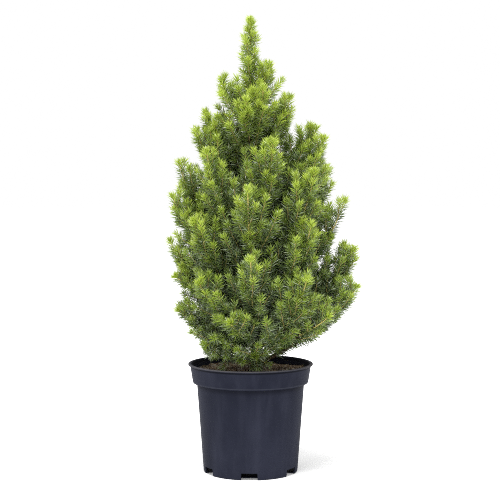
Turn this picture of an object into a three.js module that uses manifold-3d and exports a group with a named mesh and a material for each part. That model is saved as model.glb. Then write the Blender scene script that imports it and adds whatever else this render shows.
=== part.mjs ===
// A dwarf Alberta spruce in a nursery pot: pot, compost, trunk, main boughs and masses of needled shoots.
// Millimetres, +Z up, origin at the centre of the pot's base on the ground.
// Azimuths run anticlockwise seen from above: 0 is +X, 90 is +Y, 270 is the plant's front.

import * as THREE from "three";
import { mergeVertices } from "three/addons/utils/BufferGeometryUtils.js";
import Module from "manifold-3d";

const wasm = await Module();
wasm.setup();

// ---- Driving dimensions -------------------------------------------------------------------------

const CLEARANCE = 0.3; // between any two solids that touch on the real plant

const POT = {
  height: 149.5,
  wall: 1.7,
  baseRadius: 65,
  shoulderRadius: 73.9, // the body just under the collar
  shoulderHeight: 122.3,
  collarLowRadius: 79.8,
  collarTopRadius: 83.3,
  lipRadius: 86,
  lipDrop: 2.2, // depth of the turned-out lip
  sides: 36,
};
const DRAIN = { count: 6, width: 22.6, height: 9.6, depth: 15, turn: -91.5 }; // recesses round the foot

const SOIL = { top: 140, relief: 2.6, levelRadius: 24, rings: 4, sides: 18 };

const TRUNK = {
  foot: new THREE.Vector3(8, 2, SOIL.top + CLEARANCE),
  bend: new THREE.Vector3(5, -3, 328),
  tip: new THREE.Vector3(-1, 0, 510),
  footRadius: 6.6,
  tipRadius: 1.5,
  flare: 4.2, // how far the root flare stands out at the cut
  flareHeight: 13,
  flareLobes: 5,
  sides: 10,
  rings: 12,
};
const TOP = 625; // the tip of the leading shoot

// The crown's outline: height, reach to -X and reach to +X of its furthest shoots.
const OUTLINE = [
  [156, 50, 44],
  [178, 80, 66],
  [198, 91, 114],
  [230, 102, 141],
  [263, 103, 149],
  [310, 113, 145],
  [326, 112, 136],
  [338, 110, 98],
  [350, 110, 122],
  [383, 109, 131],
  [434, 101, 111],
  [466, 80, 99],
  [506, 60, 63],
  [543, 43, 46],
  [568, 23, 26],
  [TOP, 2, 2],
];

const OUTLINE_SLACK = 10;

// Each plume of foliage: [azimuth, height of its tip]. Its reach follows from the outline.
const PLUMES = [
  // spire
  [2, 566],
  [178, 545],
  [92, 538],
  [290, 531],
  [345, 520],
  [183, 500],
  [50, 506],
  [125, 495],
  [264, 514],
  // shoulders
  [3, 481],
  [192, 475],
  [352, 464],
  [110, 468],
  [288, 459],
  [232, 446],
  [172, 432],
  [20, 426],
  [318, 420],
  // upper middle
  [268, 396],
  [95, 400],
  [190, 385],
  [355, 380],
  [140, 370],
  [45, 368],
  [228, 354],
  [312, 350],
  // lower middle
  [178, 323],
  [92, 328],
  [4, 311],
  [270, 306],
  [140, 286],
  [48, 288],
  [302, 278],
  [232, 270],
  [350, 260],
  // foot
  [90, 234],
  [180, 226],
  [186, 272],
  [322, 224],
  [256, 218],
];
// Short shoots low on the trunk that spread over the compost: [azimuth, height of the tip].
const SKIRT = [
  [216, 176],
  [276, 168],
  [2, 174],
  [134, 180],
];

// Low plumes leave the trunk nearly level and high ones steeply: rise of the axis for each unit of reach.
const SLOPE = { low: 0.42, high: 1.7, lowHeight: 170, highHeight: 560 };
// Where an axis turns up, as shares of its way out and its way up; the low ones rise more evenly.
const BEND = { out: 0.8, up: 0.34, lowUp: 0.6, lowHeight: 240, highHeight: 300 };
const LOWEST_ROOT = SOIL.top + 14;
const HIGHEST_ROOT = TRUNK.tip.z - 8;

const AXIS_POINTS = 14;
const SPACE_OVERLAP = 5; // how far a shoot may lean over the half-way line to a neighbour
const AXIS_ROOM = 9; // between the axes of neighbours
const ROOT_SHIFTS = [0, 8, -8, 16, -16, 24, 32];

const BOUGH_COUNT = 12; // the longest plumes have a bough as a limb of its own
const BOUGH_SHARE = 0.36; // of the axis, from the trunk to the mass
const BOUGH_RADIUS = { foot: 3.4, tip: 2 };
const STEM_TIP_RADIUS = 1.2;

const SHOOT = {
  sides: 3,
  coreRadius: 4.2,
  needleReach: 15, // from the shoot's middle line to the needle tips
  shortOf: 36, // shoots shorter than this have one row of needles less
  tries: 48, // places tried on one stem
  apart: 18, // between the middle lines of shoots on one stem
  most: 5, // side shoots kept on one stem
  spread: 50, // degrees from the stem
  lift: 0.3, // how much shoots turn up to the light
  shortest: 20,
  longest: 72,
};
// Rows of needles on a shoot: where each starts, how thick the core is there, and how far needles stand out.
const LONG_ROWS = [
  { start: 0, core: 0.26, needle: 0.72 },
  { start: 0.3, core: 1, needle: 1 },
  { start: 0.57, core: 0.85, needle: 0.86 },
  { start: 0.8, core: 0.5 },
];
const SHORT_ROWS = [
  { start: 0, core: 0.26, needle: 0.85 },
  { start: 0.4, core: 1, needle: 0.9 },
  { start: 0.75, core: 0.6 },
];
// Two steps that spread places evenly over a stem: along it and round it.
const ALONG_STEP = 0.7549;
const ROUND_STEP = 0.5698;

// ---- Helpers ------------------------------------------------------------------------------------

const radians = THREE.MathUtils.degToRad;
const lerp = THREE.MathUtils.lerp;

// A number from 0 to 1 that depends only on its whole-number keys.
function chance(...keys) {
  let hash = 2166136261;
  for (const key of keys) {
    hash = Math.imul(hash ^ key, 16777619);
    hash ^= hash >>> 13;
    hash = Math.imul(hash, 1540483477);
    hash ^= hash >>> 15;
  }
  return (hash >>> 0) / 4294967296;
}

// The value at x of a table whose rows start with their x and rise.
function fromTable(table, x, column) {
  if (x <= table[0][0]) return table[0][column];
  for (let i = 1; i < table.length; i++) {
    if (x <= table[i][0]) {
      const share = (x - table[i - 1][0]) / (table[i][0] - table[i - 1][0]);
      return lerp(table[i - 1][column], table[i][column], share);
    }
  }
  return table[table.length - 1][column];
}

function solidFrom(geometry) {
  const bare = geometry.clone();
  for (const name of Object.keys(bare.attributes)) {
    if (name !== "position") bare.deleteAttribute(name);
  }
  const merged = mergeVertices(bare, 1e-4);
  return new wasm.Manifold(
    new wasm.Mesh({
      numProp: 3,
      vertProperties: new Float32Array(merged.attributes.position.array),
      triVerts: new Uint32Array(merged.index.array),
    }),
  );
}

function geometryFrom(solid) {
  const mesh = solid.getMesh();
  const positions = new Float32Array(mesh.numVert * 3);
  for (let i = 0; i < mesh.numVert; i++) {
    positions.set(mesh.vertProperties.subarray(i * mesh.numProp, i * mesh.numProp + 3), i * 3);
  }
  const geometry = new THREE.BufferGeometry();
  geometry.setAttribute("position", new THREE.BufferAttribute(positions, 3));
  geometry.setIndex(new THREE.BufferAttribute(new Uint32Array(mesh.triVerts), 1));
  const flat = geometry.toNonIndexed();
  flat.computeVertexNormals();
  return flat;
}

// The largest piece of a solid, without loose scraps.
function mainPiece(solid) {
  return solid.decompose().reduce((best, piece) => (piece.volume() > best.volume() ? piece : best));
}

// A closed profile of [radius, height] points turned about +Z.
function turned(profile, sides) {
  const points = [...profile, profile[0]].map(([radius, height]) => new THREE.Vector2(radius, height));
  return new THREE.LatheGeometry(points, sides).rotateX(Math.PI / 2);
}

// A limb along a curve that lies in one upright plane: a cylinder bent along it, round or lobed.
// side is the plane's normal, and radiusAt takes the share of the length and the angle round the limb.
function limb(curve, side, radiusAt, sides, rings) {
  const geometry = new THREE.CylinderGeometry(1, 1, 1, sides, rings);
  const position = geometry.attributes.position;
  const point = new THREE.Vector3();
  for (let i = 0; i < position.count; i++) {
    point.fromBufferAttribute(position, i);
    const share = THREE.MathUtils.clamp(point.y + 0.5, 0, 1);
    const across = Math.hypot(point.x, point.z);
    const reach = across * radiusAt(share, Math.atan2(point.z, point.x));
    const along = curve.getTangent(share);
    const other = side.clone().cross(along);
    const place = curve.getPoint(share);
    if (across > 0) {
      place.addScaledVector(side, (point.x / across) * reach);
      place.addScaledVector(other, (point.z / across) * reach);
    }
    position.setXYZ(i, place.x, place.y, place.z);
  }
  return geometry;
}

// ---- Pot and compost ----------------------------------------------------------------------------

function outerRadius(height) {
  return lerp(POT.baseRadius, POT.shoulderRadius, Math.min(1, height / POT.shoulderHeight));
}

function potSolid() {
  const { height, wall, shoulderHeight } = POT;
  const lipFoot = height - POT.lipDrop;
  const profile = [
    [0, 0],
    [POT.baseRadius - 1.6, 0],
    [POT.baseRadius, 1.6],
    [POT.shoulderRadius, shoulderHeight],
    [POT.collarLowRadius - 1.4, shoulderHeight + 0.8],
    [POT.collarLowRadius, shoulderHeight + 2.4],
    [POT.collarTopRadius, lipFoot],
    [POT.lipRadius - 0.7, lipFoot],
    [POT.lipRadius, height - 1.1],
    [POT.lipRadius - 0.9, height],
    [POT.collarTopRadius - wall, height],
    [POT.collarLowRadius - wall, shoulderHeight + 3.2 + wall],
    [POT.shoulderRadius - wall, shoulderHeight + wall],
    [POT.baseRadius - wall, 1.6 + wall],
    [POT.baseRadius - wall - 1.2, wall],
    [0, wall],
  ];
  return drainRecesses(0).reduce(
    (pot, recess) => pot.subtract(recess),
    solidFrom(turned(profile, POT.sides)),
  );
}

// The recesses cut through the foot, grown by a margin on every face.
function drainRecesses(margin) {
  return Array.from({ length: DRAIN.count }, (_, i) => {
    const outside = POT.baseRadius + 6;
    const inside = POT.baseRadius - DRAIN.depth - margin;
    const box = new THREE.BoxGeometry(
      outside - inside,
      DRAIN.width + 2 * margin,
      DRAIN.height + margin + 2,
    );
    box.translate((outside + inside) / 2, 0, (DRAIN.height + margin - 2) / 2);
    box.rotateZ(radians(DRAIN.turn + (i * 360) / DRAIN.count));
    return solidFrom(box);
  });
}

// Compost fills the pot to just under its rim. It is level where the trunk stands and crumbly round it.
function soilSolid() {
  const gap = POT.wall + CLEARANCE;
  const brim = SOIL.top - 1.5;
  const brimRadius = lerp(
    POT.collarLowRadius,
    POT.collarTopRadius,
    (brim - POT.shoulderHeight) / (POT.height - POT.shoulderHeight),
  );
  const surface = Array.from({ length: SOIL.rings }, (_, i) => [
    ((brimRadius - gap) * (SOIL.rings - 1 - i)) / SOIL.rings + SOIL.levelRadius / SOIL.rings,
    SOIL.top,
  ]);
  const profile = [
    [0, gap],
    [POT.baseRadius - gap - 2, gap],
    [outerRadius(60) - gap - 0.4, 60],
    [POT.shoulderRadius - gap - 0.7, POT.shoulderHeight + 3.5],
    [POT.collarLowRadius - gap - 0.8, POT.shoulderHeight + 8],
    [brimRadius - gap - 0.6, brim],
    ...surface,
    [0, SOIL.top],
  ];
  const geometry = turned(profile, SOIL.sides);
  const position = geometry.attributes.position;
  for (let i = 0; i < position.count; i++) {
    const x = position.getX(i) - TRUNK.foot.x;
    const y = position.getY(i) - TRUNK.foot.y;
    const fromTrunk = Math.hypot(x, y);
    if (position.getZ(i) < brim - 1 || fromTrunk < SOIL.levelRadius) continue;
    const key = [Math.round(x * 8), Math.round(y * 8)];
    position.setZ(i, position.getZ(i) + (chance(...key) - 0.6) * SOIL.relief);
  }
  return drainRecesses(1).reduce((soil, recess) => soil.subtract(recess), solidFrom(geometry));
}

// ---- Trunk --------------------------------------------------------------------------------------

const trunkCurve = new THREE.QuadraticBezierCurve3(TRUNK.foot, TRUNK.bend, TRUNK.tip);

function trunkRadius(share, angle) {
  const height = share * (TRUNK.tip.z - TRUNK.foot.z);
  const lobes = 0.6 + 0.4 * Math.cos(TRUNK.flareLobes * angle);
  const flare = TRUNK.flare * lobes * Math.exp(-height / TRUNK.flareHeight);
  return lerp(TRUNK.footRadius, TRUNK.tipRadius, share ** 0.8) + flare;
}

function trunkAt(height) {
  const share = (height - TRUNK.foot.z) / (TRUNK.tip.z - TRUNK.foot.z);
  return trunkCurve.getPoint(THREE.MathUtils.clamp(share, 0, 1));
}

// The trunk, grown by a margin, with its foot cut level.
function trunkSolid(margin) {
  const geometry = limb(
    trunkCurve,
    new THREE.Vector3(0, 1, 0),
    (share, angle) => trunkRadius(share, angle) + margin,
    TRUNK.sides,
    TRUNK.rings,
  );
  const position = geometry.attributes.position;
  for (let i = 0; i < position.count; i++) {
    if (position.getZ(i) < TRUNK.foot.z + 3) position.setZ(i, TRUNK.foot.z - margin);
    if (position.getZ(i) > TRUNK.tip.z - 1) position.setZ(i, TRUNK.tip.z + margin);
  }
  return solidFrom(geometry);
}

// ---- Axes of the plumes -------------------------------------------------------------------------

function reachAt(azimuth, height) {
  const right = (1 + Math.cos(radians(azimuth))) / 2;
  return lerp(fromTable(OUTLINE, height, 1), fromTable(OUTLINE, height, 2), right);
}

// A plume's middle line: out from the trunk, then turning up to its tip.
function plumeAxis(azimuth, height, shift) {
  const steepness = (height - SLOPE.lowHeight) / (SLOPE.highHeight - SLOPE.lowHeight);
  const slope = lerp(SLOPE.low, SLOPE.high, THREE.MathUtils.clamp(steepness, 0, 1));
  const reach = reachAt(azimuth, height);
  const out = new THREE.Vector3(Math.cos(radians(azimuth)), Math.sin(radians(azimuth)), 0);
  const tip = out.clone().multiplyScalar(reach).setZ(height);
  const rootHeight = Math.max(LOWEST_ROOT, height - slope * reach) + shift;
  const root = trunkAt(THREE.MathUtils.clamp(rootHeight, LOWEST_ROOT - 8, HIGHEST_ROOT));
  const across = tip.clone().sub(root).setZ(0);
  const bend = root.clone().addScaledVector(across, BEND.out);
  const lowness = (BEND.highHeight - height) / (BEND.highHeight - BEND.lowHeight);
  bend.z = lerp(root.z, height, lerp(BEND.up, BEND.lowUp, THREE.MathUtils.clamp(lowness, 0, 1)));
  const curve = new THREE.QuadraticBezierCurve3(root, bend, tip);
  return {
    curve,
    side: new THREE.Vector3(-across.y, across.x, 0).normalize(),
    line: curve.getPoints(AXIS_POINTS),
  };
}

function distanceTo(line, point) {
  const segment = new THREE.Line3();
  const nearest = new THREE.Vector3();
  let least = Infinity;
  for (let i = 1; i < line.length; i++) {
    segment.set(line[i - 1], line[i]).closestPointToPoint(point, true, nearest);
    least = Math.min(least, nearest.distanceToSquared(point));
  }
  return Math.sqrt(least);
}

// How far an axis stays from the axes settled before it.
function roomAround(axis, settled) {
  return Math.min(
    Infinity,
    ...settled.flatMap(({ line }) => axis.line.map((point) => distanceTo(line, point))),
  );
}

// Each axis leaves the trunk at the first height that keeps it clear of its neighbours.
function settledPlumes() {
  const settled = [];
  for (const [azimuth, height] of [...PLUMES, ...SKIRT]) {
    const options = ROOT_SHIFTS.map((shift) => plumeAxis(azimuth, height, shift));
    const rooms = options.map((axis) => roomAround(axis, settled));
    const first = rooms.findIndex((room) => room > AXIS_ROOM);
    const best = first < 0 ? rooms.indexOf(Math.max(...rooms)) : first;
    settled.push({ index: settled.length + 1, ...options[best] });
  }
  return settled;
}

const plumes = settledPlumes();
const leaderCurve = new THREE.LineCurve3(
  TRUNK.tip.clone().setZ(TRUNK.tip.z + CLEARANCE),
  new THREE.Vector3(-0.5, 0, TOP - 1),
);
const leader = {
  index: 0,
  curve: leaderCurve,
  side: new THREE.Vector3(0, 1, 0),
  line: leaderCurve.getPoints(AXIS_POINTS),
};
const trunkLine = trunkCurve.getPoints(2 * AXIS_POINTS);

// ---- Each plume's own space ---------------------------------------------------------------------

// True where a point lies in the crown and is nearer to its own plume's axis than to any other.
function inOwnSpace(plume, point) {
  if (point.z < SOIL.top + SOIL.relief + 1.5 || point.z > TOP) return false;
  const azimuth = THREE.MathUtils.radToDeg(Math.atan2(point.y, point.x));
  if (Math.hypot(point.x, point.y) > reachAt(azimuth, point.z) + OUTLINE_SLACK) return false;
  const own = distanceTo(plume.line, point) - SPACE_OVERLAP;
  if (plume !== leader && distanceTo(trunkLine, point) < TRUNK.footRadius) return false;
  return [leader, ...plumes].every((other) => other === plume || distanceTo(other.line, point) > own);
}

// ---- Foliage ------------------------------------------------------------------------------------

// Two directions square to a shoot and to each other.
function crossAxes(along) {
  const across = new THREE.Vector3(0.31, 0.17, 0.93).cross(along).normalize();
  return [across, along.clone().cross(across)];
}

// A needled shoot: a slim core whose faces are drawn out into needles that lean forward.
function shootGeometry({ root, along, length, reach, turn }) {
  const [across, other] = crossAxes(along);
  const at = (share, angle, radius) =>
    root
      .clone()
      .addScaledVector(along, share * length)
      .addScaledVector(across, Math.cos(angle) * radius)
      .addScaledVector(other, Math.sin(angle) * radius);
  const rows = length < SHOOT.shortOf ? SHORT_ROWS : LONG_ROWS;
  const step = (2 * Math.PI) / SHOOT.sides;
  const cornerAngle = (row, k) => turn + (k + 0.5 * row) * step;
  const rings = rows.map(({ start, core }, row) =>
    Array.from({ length: SHOOT.sides }, (_, k) => at(start, cornerAngle(row, k), core * SHOOT.coreRadius)),
  );
  const triangles = [];
  for (let row = 0; row < rows.length - 1; row++) {
    for (let k = 0; k < SHOOT.sides; k++) {
      const next = (k + 1) % SHOOT.sides;
      const corners = [rings[row][k], rings[row][next], rings[row + 1][next], rings[row + 1][k]];
      const middle = (cornerAngle(row, k) + cornerAngle(row + 1, k + 1)) / 2;
      const tip = at(rows[row + 1].start + 0.1, middle, reach * rows[row].needle);
      corners.forEach((corner, c) => triangles.push(corner, corners[(c + 1) % 4], tip));
    }
  }
  const last = rings[rings.length - 1];
  for (let k = 0; k < SHOOT.sides; k++) {
    const next = (k + 1) % SHOOT.sides;
    triangles.push(last[k], last[next], at(1, 0, 0));
    triangles.push(rings[0][next], rings[0][k], root);
  }
  return new THREE.BufferGeometry().setFromPoints(triangles);
}

// Points that show whether a shoot keeps to its plume's space.
function probes({ root, along, length, reach }) {
  const [across, other] = crossAxes(along);
  const points = [root.clone().addScaledVector(along, length)];
  for (const share of [0.45, 0.75]) {
    for (let k = 0; k < 6; k++) {
      points.push(
        root
          .clone()
          .addScaledVector(along, share * length)
          .addScaledVector(across, Math.cos((k * Math.PI) / 3) * reach)
          .addScaledVector(other, Math.sin((k * Math.PI) / 3) * reach),
      );
    }
  }
  return points;
}

// The side shoots of a plume stand round its stem, shorter towards its tip, and shrink to fit its space.
function sideShoots(plume) {
  const length = plume.curve.getLength() * (1 - plume.stemFrom);
  const fullLength = THREE.MathUtils.clamp(0.62 * length, 30, SHOOT.longest);
  const firstAt = plume.hasBough ? 0.03 : 0.14;
  const shoots = [];
  const lines = [[plume.curve.getPoint(plume.endAt), plume.curve.getPoint(1)]];
  for (let i = 0; i < SHOOT.tries && shoots.length < SHOOT.most; i++) {
    const share = lerp(firstAt, 0.8, (0.3 + i * ALONG_STEP) % 1);
    const t = lerp(plume.stemFrom, 1, share);
    const stemAlong = plume.curve.getTangent(t);
    const other = plume.side.clone().cross(stemAlong);
    const angle = 2 * Math.PI * (i * ROUND_STEP + chance(plume.index, 3));
    const spread = radians(SHOOT.spread * (0.85 + 0.3 * chance(plume.index, i, 4)));
    const along = stemAlong
      .clone()
      .multiplyScalar(Math.cos(spread))
      .addScaledVector(plume.side, Math.sin(spread) * Math.cos(angle))
      .addScaledVector(other, Math.sin(spread) * Math.sin(angle));
    along.z += SHOOT.lift;
    along.normalize();
    const wanted = fullLength * lerp(1, 0.6, share) * (0.85 + 0.3 * chance(plume.index, i, 5));
    for (const fit of [1, 0.82, 0.66, 0.52, 0.4]) {
      const shoot = {
        root: plume.curve.getPoint(t),
        along,
        length: wanted * fit,
        reach: SHOOT.needleReach * lerp(0.7, 1, fit),
        turn: angle,
      };
      if (shoot.length < SHOOT.shortest) break;
      const line = [0, 0.5, 0.75, 1].map((s) => shoot.root.clone().addScaledVector(along, s * shoot.length));
      const apart = lines.every((other) => line.slice(1).every((p) => distanceTo(other, p) > SHOOT.apart));
      if (!apart || !probes(shoot).every((point) => inOwnSpace(plume, point))) continue;
      const solid = solidFrom(shootGeometry(shoot));
      if (clearOfPlaced(solid)) {
        shoots.push(solid);
        lines.push([line[0], line[3]]);
        break;
      }
    }
  }
  return shoots;
}

// The shoot that goes on from the stem's end to the plume's tip.
function endShoot(plume) {
  const from = plume.curve.getPoint(plume.endAt);
  const tip = plume.curve.getPoint(1);
  const along = tip.clone().sub(from);
  return solidFrom(
    shootGeometry({
      root: from,
      length: along.length(),
      along: along.normalize(),
      reach: SHOOT.needleReach * 0.85,
      turn: plume.index,
    }),
  );
}

// The part of a curve between two shares of it.
function stretchOf(curve, from, to) {
  const points = Array.from({ length: 6 }, (_, i) => curve.getPoint(lerp(from, to, i / 5)));
  return new THREE.CatmullRomCurve3(points);
}

function stemSolid(plume) {
  const part = stretchOf(plume.curve, plume.stemFrom, plume.endAt + 0.02);
  const foot = plume === leader ? TRUNK.tipRadius : BOUGH_RADIUS.tip;
  return solidFrom(limb(part, plume.side, (share) => lerp(foot, STEM_TIP_RADIUS, share), 4, 4));
}

function boughSolid(plume) {
  const part = stretchOf(plume.curve, 0, BOUGH_SHARE);
  const radius = (share) => lerp(BOUGH_RADIUS.foot, BOUGH_RADIUS.tip, share ** 0.7);
  return mainPiece(solidFrom(limb(part, plume.side, radius, 6, 4)).subtract(trunkCut));
}

// ---- Assembly -----------------------------------------------------------------------------------

const plant = new THREE.Group();
const materials = {
  pot: new THREE.MeshStandardMaterial({ color: 0x2b2d38, roughness: 0.5, metalness: 0 }),
  soil: new THREE.MeshStandardMaterial({ color: 0x32261d, roughness: 1, metalness: 0 }),
  bark: new THREE.MeshStandardMaterial({ color: 0x6b5238, roughness: 0.9, metalness: 0 }),
  foliage: new THREE.MeshStandardMaterial({ color: 0x5d7a33, roughness: 0.6, metalness: 0 }),
};

function place(name, solid, material) {
  const mesh = new THREE.Mesh(geometryFrom(solid), material.clone());
  mesh.name = name;
  plant.add(mesh);
  return solid;
}

place("pot", potSolid(), materials.pot);
place("compost", soilSolid(), materials.soil);
const trunk = place("trunk", trunkSolid(0), materials.bark);
const trunkCut = trunkSolid(CLEARANCE);

const placed = [trunk];
function clearOfPlaced(solid) {
  return placed.every((other) => solid.minGap(other, CLEARANCE) > 0.8 * CLEARANCE);
}

const byLength = [...plumes].sort((a, b) => b.curve.getLength() - a.curve.getLength());
for (const plume of byLength) {
  const bough = boughSolid(plume);
  if (placed.length <= BOUGH_COUNT && clearOfPlaced(bough)) {
    plume.hasBough = true;
    placed.push(place(`bough_${String(plume.index).padStart(2, "0")}`, bough, materials.bark));
  }
}

for (const plume of [leader, ...plumes]) {
  const length = plume.curve.getLength();
  plume.stemFrom = plume.hasBough ? BOUGH_SHARE + (1.4 * CLEARANCE) / length : 0;
  plume.endAt = 1 - Math.min(0.42, 46 / length);
  const stem = plume === leader ? stemSolid(plume) : mainPiece(stemSolid(plume).subtract(trunkCut));
  if (!clearOfPlaced(stem)) continue;
  const shoots = [...[endShoot(plume)].filter(clearOfPlaced), ...sideShoots(plume)];
  const mass = mainPiece(wasm.Manifold.union([stem, ...shoots]));
  const name = plume === leader ? "foliage_leader" : `foliage_${String(plume.index).padStart(2, "0")}`;
  placed.push(place(name, mass, materials.foliage));
}

export default plant;
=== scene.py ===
"""A potted dwarf Alberta spruce: nursery pot, compost, trunk, boughs and fine needled shoots.

The scene is in metres, +Z up, with the origin at the centre of the pot's foot. Azimuths run anticlockwise
from +X, so that the plant's front is at 270 degrees. Sizes in the tables are in millimetres, but for those
of the stage, and angles are in degrees. Shapes are worked out in millimetres until they become meshes.
"""

import math

import bmesh
import bpy
import numpy as np
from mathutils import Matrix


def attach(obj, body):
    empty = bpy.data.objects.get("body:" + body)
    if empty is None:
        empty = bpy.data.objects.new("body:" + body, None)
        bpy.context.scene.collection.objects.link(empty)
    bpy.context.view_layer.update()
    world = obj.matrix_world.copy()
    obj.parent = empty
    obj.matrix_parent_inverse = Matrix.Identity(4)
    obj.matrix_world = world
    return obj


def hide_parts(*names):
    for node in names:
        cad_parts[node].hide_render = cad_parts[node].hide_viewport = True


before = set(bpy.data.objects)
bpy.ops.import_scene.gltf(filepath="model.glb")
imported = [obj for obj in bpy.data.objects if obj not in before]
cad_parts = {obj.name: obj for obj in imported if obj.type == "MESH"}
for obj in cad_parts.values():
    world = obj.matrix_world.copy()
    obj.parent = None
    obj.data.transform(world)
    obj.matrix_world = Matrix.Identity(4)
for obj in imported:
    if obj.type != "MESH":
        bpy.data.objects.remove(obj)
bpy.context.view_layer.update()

MM = 0.001
GOLDEN = math.pi * (3 - math.sqrt(5))
SEEDS = {"trunk": 3, "limbs": 8, "compost": 21, "foliage": 55, "plumes": 100}

# ---- Sizes, as in the part's own source ----

CLEARANCE = 0.3
POT = {
    "height": 149.5,
    "wall": 1.7,
    "base_radius": 65,
    "shoulder_radius": 73.9,
    "shoulder_height": 122.3,
    "collar_low_radius": 79.8,
    "collar_top_radius": 83.3,
    "lip_radius": 86,
    "lip_drop": 2.2,
}

# The recesses round the pot's foot. "top_share" is how much of their width they keep at their top.
DRAIN = {"count": 6, "width": 22.6, "top_share": 0.96, "height": 9.6, "depth": 15, "turn": -91.5}
SOIL_TOP = 140
TRUNK = {
    "foot": (8, 2, SOIL_TOP + CLEARANCE),
    "bend": (5, -3, 328),
    "tip": (-1, 0, 510),
    "foot_radius": 6.6,
    "tip_radius": 1.5,
    "flare": 4.2,
    "flare_height": 13,
    "flare_lobes": 5,
}
TRUNK_HEIGHT = TRUNK["tip"][2] - TRUNK["foot"][2]
TOP = 625
LEADER_TIP = (-0.5, 0, TOP - 6)

# The crown's outline: height, reach to -X and reach to +X of its furthest shoots.
OUTLINE = np.array(
    [
        [156, 50, 44],
        [178, 80, 66],
        [198, 91, 114],
        [230, 102, 141],
        [263, 103, 149],
        [310, 113, 145],
        [326, 112, 136],
        [338, 110, 98],
        [350, 110, 122],
        [383, 109, 131],
        [434, 101, 111],
        [466, 80, 99],
        [506, 60, 63],
        [543, 43, 46],
        [568, 23, 26],
        [TOP, 2, 2],
    ],
    dtype=float,
)

# Each plume of foliage: azimuth and height of its tip, from the spire down to the skirt over the compost.
PLUMES = [
    (2, 566), (178, 545), (92, 538), (290, 531), (345, 520), (183, 500), (50, 506), (125, 495), (264, 514),
    (3, 481), (192, 475), (352, 464), (110, 468), (288, 459), (232, 446), (172, 432), (20, 426), (318, 420),
    (268, 396), (95, 400), (190, 385), (355, 380), (140, 370), (45, 368), (228, 354), (312, 350),
    (178, 323), (92, 328), (4, 311), (270, 306), (140, 286), (48, 288), (302, 278), (232, 270), (350, 260),
    (90, 234), (180, 226), (186, 272), (322, 224), (256, 218),
    (216, 176), (276, 168), (2, 174), (134, 180),
]

# How steeply a plume's axis leaves the trunk for low and high tips, and how far it turns up on its way.
SLOPE = {"low": 0.42, "high": 1.7, "low_height": 170, "high_height": 560}
BEND = {"out": 0.8, "up": 0.34, "low_up": 0.6, "low_height": 240, "high_height": 300}
LOWEST_ROOT = SOIL_TOP + 14
HIGHEST_ROOT = TRUNK["tip"][2] - 8

# Points along an axis, the room it keeps to its neighbours, and the shifts of its root that are tried.
AXIS_POINTS = 14
AXIS_ROOM = 9
ROOT_SHIFTS = [0, 8, -8, 16, -16, 24, 32]

# ---- Sizes of the finer growth ----

# The share of a plume's axis that bears no shoots, the last plume over the skirt, the tip height under
# which plumes are low ones, and the turn in radians from one plume's first shoot to the next one's.
BARE_SHARE = 0.12
SKIRT_AFTER = 40
LOW_UNDER = 300
PLUME_TURN = 1.7

# Side shoots of a plume's stem, "spacing" apart up to the share "last" of it. They open "spread" from the
# stem, rising by "lift" at their foot and by "upturn" at their tip. At the stem's tip they are "at_tip"
# long, and further down longer by "taper" of the stem beyond them, up to "share" of it all or "longest".
# Those cut back to under "shortest" are left out. One sprig stands on each stretch "sprigs" of a shoot.
# The share "candles" of them may pass the crown's outline by "candle_slack", the rest by "body_slack".
# A slack under 0 keeps them inside the outline.
SHOOTS = {
    "spacing": 8.5,
    "last": 0.91,
    "spread": 40,
    "lift": 0.4,
    "upturn": 0.4,
    "share": 0.6,
    "longest": 84,
    "shortest": 10,
    "at_tip": 3,
    "taper": 0.5,
    "sprigs": 14,
    "candles": 0.25,
    "candle_slack": 1,
    "body_slack": -9,
}
LOW_SHOOTS = {**SHOOTS, "spacing": 5.5, "spread": 50, "lift": 0.28, "longest": 72, "sprigs": 16}
SKIRT_SHOOTS = {
    **LOW_SHOOTS,
    "spacing": 3.2,
    "lift": -0.15,
    "upturn": -0.1,
    "share": 0.9,
    "at_tip": 18,
    "taper": 1.3,
    "candle_slack": 8,
    "body_slack": 2,
}
LEADER_SHOOTS = {
    **SHOOTS,
    "spacing": 7,
    "spread": 54,
    "lift": 0.25,
    "longest": 19,
    "shortest": 4,
    "at_tip": 6,
    "candles": 1,
    "candle_slack": -2,
}
FEWEST_SHOOTS = 4
LEAST_FULL_LENGTH = 20

# Sprigs of a side shoot, from the share "first" of it on, over the share "stretch". The rest as above.
SPRIGS = {
    "first": 0.08,
    "stretch": 0.7,
    "spread": 46,
    "lift": 0.25,
    "upturn": 0.2,
    "share": 0.3,
    "shortest": 7,
    "at_tip": 4,
    "taper": 0.3,
}
FEWEST_SPRIGS = 2

# Short shoots along the trunk from the share "first" to the share "last" of it. Their lengths are drawn
# between "shortest" and "longest", times "low" at the trunk's foot and "high" at its tip.
INNER = {
    "count": 100,
    "first": 0.12,
    "last": 0.97,
    "lift": 0.7,
    "upturn": 0.25,
    "shortest": 26,
    "longest": 54,
    "low": 0.55,
    "high": 1.45,
}

# The crown's underside: "clear" over the compost within "inner" of its centre, and "rise" higher from
# "outer" on. Distances to the front and back count by "squash" only.
UNDERSIDE = {"clear": 4, "centre": -10, "inner": 40, "outer": 66, "rise": 50, "squash": 0.5}
HIGHEST_TIP = TOP - 4

# The shares that a shoot is cut back to, the longest one first, until its tip lies in the crown.
CUT_BACK = (1, 0.85, 0.7, 0.55, 0.42, 0.3)

# A needle: its size, the share of its length where it is widest, how it lifts and how it leans from its
# shoot. At the shoot's tip it leans by "tip_lean" and has the share "tip_size" of its length. Each "fade"
# says how far back that reaches.
NEEDLE = {
    "length": 12.5,
    "width": 1.05,
    "depth": 0.8,
    "widest": 0.4,
    "lift": 0.08,
    "lean": 66,
    "tip_lean": 32,
    "lean_fade": 7,
    "tip_size": 0.76,
    "size_fade": 6,
}
NEEDLES_PAST_TIP = 5
FEWEST_NEEDLES = 3

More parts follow.
